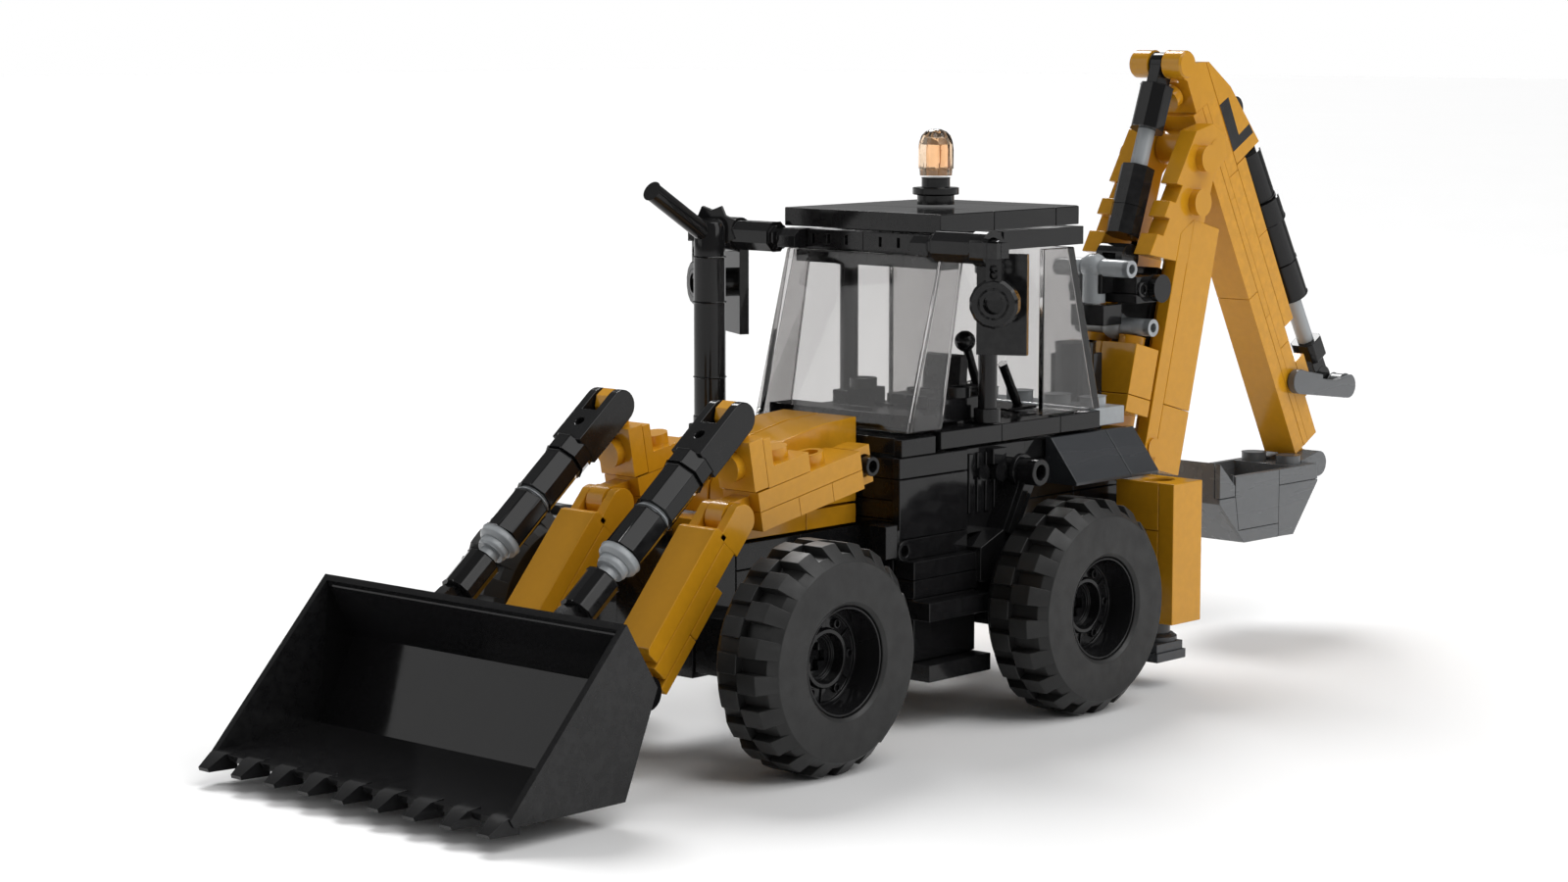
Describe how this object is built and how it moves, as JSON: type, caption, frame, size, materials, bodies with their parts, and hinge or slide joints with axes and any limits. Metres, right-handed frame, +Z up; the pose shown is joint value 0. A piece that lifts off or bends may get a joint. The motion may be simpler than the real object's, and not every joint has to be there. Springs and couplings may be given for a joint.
{
  "type": "toy backhoe loader",
  "caption": "Toy backhoe loader of moulded bricks: tilting front bucket on lift arms, glazed cab, stabilisers, and a swinging rear arm with a digging bucket.",
  "frame": {"origin": "on the ground, below the centre of the whole model's box", "axes": "+Z up, -Y forwards to the loader bucket, +X to the vehicle's left"},
  "size_m": [0.074, 0.2572, 0.1101],
  "materials": {
    "yellow": "glossy moulded plastic",
    "black": "glossy moulded plastic",
    "dark_grey": "satin moulded plastic",
    "mid_grey": "satin moulded plastic",
    "light_grey": "glossy moulded plastic",
    "tyre_rubber": "satin rubber",
    "smoke_clear": "clear smoky plastic",
    "amber_clear": "clear amber plastic"
  },
  "bodies": {
    "root": {"chassis_frame": "black", "side_block_left": "black", "side_block_right": "black", "hood_left": "yellow", "hood_right": "yellow", "hood_base": "yellow", "cab_base": "black", "fender_left": "dark_grey", "fender_right": "dark_grey", "rear_deck": "light_grey", "stabiliser_tower_left": "yellow", "stabiliser_tower_right": "yellow", "windscreen": "smoke_clear", "rear_window": "smoke_clear", "cab_frame": "black", "roof": "black", "seat_console": "black", "beacon_base": "black", "beacon_globe": "amber_clear", "exhaust_stack": "black"},
    "front_wheels": {"axle_front": "light_grey", "rim_front_left": "black", "rim_front_right": "black", "tyre_front_left": "tyre_rubber", "tyre_front_right": "tyre_rubber"},
    "rear_wheels": {"axle_rear": "light_grey", "rim_rear_left": "black", "rim_rear_right": "black", "tyre_rear_left": "tyre_rubber", "tyre_rear_right": "tyre_rubber"},
    "loader_arms": {"upper_arm_left": "yellow", "upper_arm_right": "yellow", "lift_pin": "black", "lower_arm_left": "yellow", "lower_arm_right": "yellow"},
    "loader_bucket": {"loader_bucket": "black"},
    "tilt_barrels": {"tilt_barrel_left": "black", "tilt_barrel_right": "black"},
    "tilt_rods": {"tilt_rod_left": "light_grey", "tilt_rod_right": "light_grey"},
    "mirror_left": {"mirror_left": "black"},
    "mirror_right": {"mirror_right": "black"},
    "drive_lever": {"drive_lever": "black"},
    "leg_left": {"stabiliser_leg_left": "dark_grey"},
    "leg_right": {"stabiliser_leg_right": "dark_grey"},
    "swing": {"swing_post": "black"},
    "boom": {"boom_beam_left": "yellow", "boom_beam_right": "yellow", "boom_foot": "yellow", "boom_hub": "black", "hose_tee_upper": "light_grey", "hose_tee_lower": "light_grey"},
    "stick": {"stick": "yellow"},
    "dipper_barrel": {"dipper_barrel": "black"},
    "dipper_rod": {"dipper_rod": "light_grey"},
    "curl_barrel": {"curl_barrel": "black"},
    "curl_rod": {"curl_rod": "light_grey"},
    "bucket_link": {"bucket_link": "mid_grey"},
    "backhoe_bucket": {"backhoe_bucket": "mid_grey"}
  },
  "joints": [
    {"name": "front_wheel_spin", "type": "hinge", "parent": "root", "child": "front_wheels", "pos_m": [0, -0.05822, 0.01814], "axis": [1, 0, 0], "continuous": true},
    {"name": "rear_wheel_spin", "type": "hinge", "parent": "root", "child": "rear_wheels", "pos_m": [0, 0.00668, 0.01814], "axis": [1, 0, 0], "continuous": true},
    {"name": "loader_lift", "type": "hinge", "parent": "root", "child": "loader_arms", "pos_m": [0, -0.03053, 0.0439], "axis": [-1, 0, 0], "range_deg": [0, 40]},
    {"name": "bucket_tilt", "type": "hinge", "parent": "loader_arms", "child": "loader_bucket", "pos_m": [0, -0.08172, 0.01405], "axis": [1, 0, 0], "range_deg": [0, 35]},
    {"name": "tilt_cylinder_swing", "type": "hinge", "parent": "loader_arms", "child": "tilt_barrels", "pos_m": [0, -0.05973, 0.054], "axis": [1, 0, 0], "range_deg": [-1, 4]},
    {"name": "tilt_rod_slide", "type": "slide", "parent": "tilt_barrels", "child": "tilt_rods", "axis": [0, -0.7793, -0.6266], "range_m": [-0.003, 0.0115]},
    {"name": "backhoe_swing", "type": "hinge", "parent": "root", "child": "swing", "pos_m": [0, 0.04498, 0.0295], "axis": [0, 0, 1], "range_deg": [-40, 40]},
    {"name": "boom_hinge", "type": "hinge", "parent": "swing", "child": "boom", "pos_m": [0, 0.05828, 0.038], "axis": [-1, 0, 0], "range_deg": [0, 30]},
    {"name": "stick_hinge", "type": "hinge", "parent": "boom", "child": "stick", "pos_m": [0, 0.07677, 0.092], "axis": [1, 0, 0], "range_deg": [-8, 28]},
    {"name": "dipper_cylinder_swing", "type": "hinge", "parent": "boom", "child": "dipper_barrel", "pos_m": [0, 0.05717, 0.0726], "axis": [1, 0, 0], "range_deg": [-3, 9]},
    {"name": "dipper_rod_slide", "type": "slide", "parent": "dipper_barrel", "child": "dipper_rod", "axis": [0, 0.3514, 0.9362], "range_m": [-0.0065, 0.0025]},
    {"name": "bucket_curl", "type": "hinge", "parent": "stick", "child": "backhoe_bucket", "pos_m": [0, 0.11607, 0.0294], "axis": [1, 0, 0], "range_deg": [0, 45]},
    {"name": "bucket_link_swing", "type": "hinge", "parent": "stick", "child": "bucket_link", "pos_m": [0, 0.10927, 0.046], "axis": [1, 0, 0], "range_deg": [-6, 24]},
    {"name": "curl_cylinder_swing", "type": "hinge", "parent": "stick", "child": "curl_barrel", "pos_m": [0, 0.09198, 0.099], "axis": [1, 0, 0], "range_deg": [-1, 3.5]},
    {"name": "curl_rod_slide", "type": "slide", "parent": "curl_barrel", "child": "curl_rod", "axis": [0, 0.505, -0.8631], "range_m": [-0.0055, 0.0015]},
    {"name": "stabiliser_leg_left_slide", "type": "slide", "parent": "root", "child": "leg_left", "axis": [0, 0, -1], "range_m": [0, 0.0044]},
    {"name": "stabiliser_leg_right_slide", "type": "slide", "parent": "root", "child": "leg_right", "axis": [0, 0, -1], "range_m": [0, 0.0044]},
    {"name": "mirror_left_swing", "type": "hinge", "parent": "root", "child": "mirror_left", "pos_m": [0.029, -0.01482, 0.0788], "axis": [1, 0, 0], "range_deg": [-25, 25]},
    {"name": "mirror_right_swing", "type": "hinge", "parent": "root", "child": "mirror_right", "pos_m": [-0.029, -0.01482, 0.0788], "axis": [1, 0, 0], "range_deg": [-25, 25]},
    {"name": "drive_lever_swing", "type": "hinge", "parent": "root", "child": "drive_lever", "pos_m": [0, 0.01758, 0.0509], "axis": [1, 0, 0], "range_deg": [-15, 15]}
  ],
  "couplings": [
    {"joint": "tilt_cylinder_swing", "follows": "bucket_tilt", "ratio": 0.08},
    {"joint": "tilt_rod_slide", "follows": "bucket_tilt", "m_per_rad": 0.0165},
    {"joint": "dipper_cylinder_swing", "follows": "stick_hinge", "ratio": 0.3},
    {"joint": "dipper_rod_slide", "follows": "stick_hinge", "m_per_rad": -0.0125},
    {"joint": "bucket_link_swing", "follows": "bucket_curl", "ratio": 0.5},
    {"joint": "curl_cylinder_swing", "follows": "bucket_curl", "ratio": 0.06},
    {"joint": "curl_rod_slide", "follows": "bucket_curl", "m_per_rad": -0.0059}
  ]
}
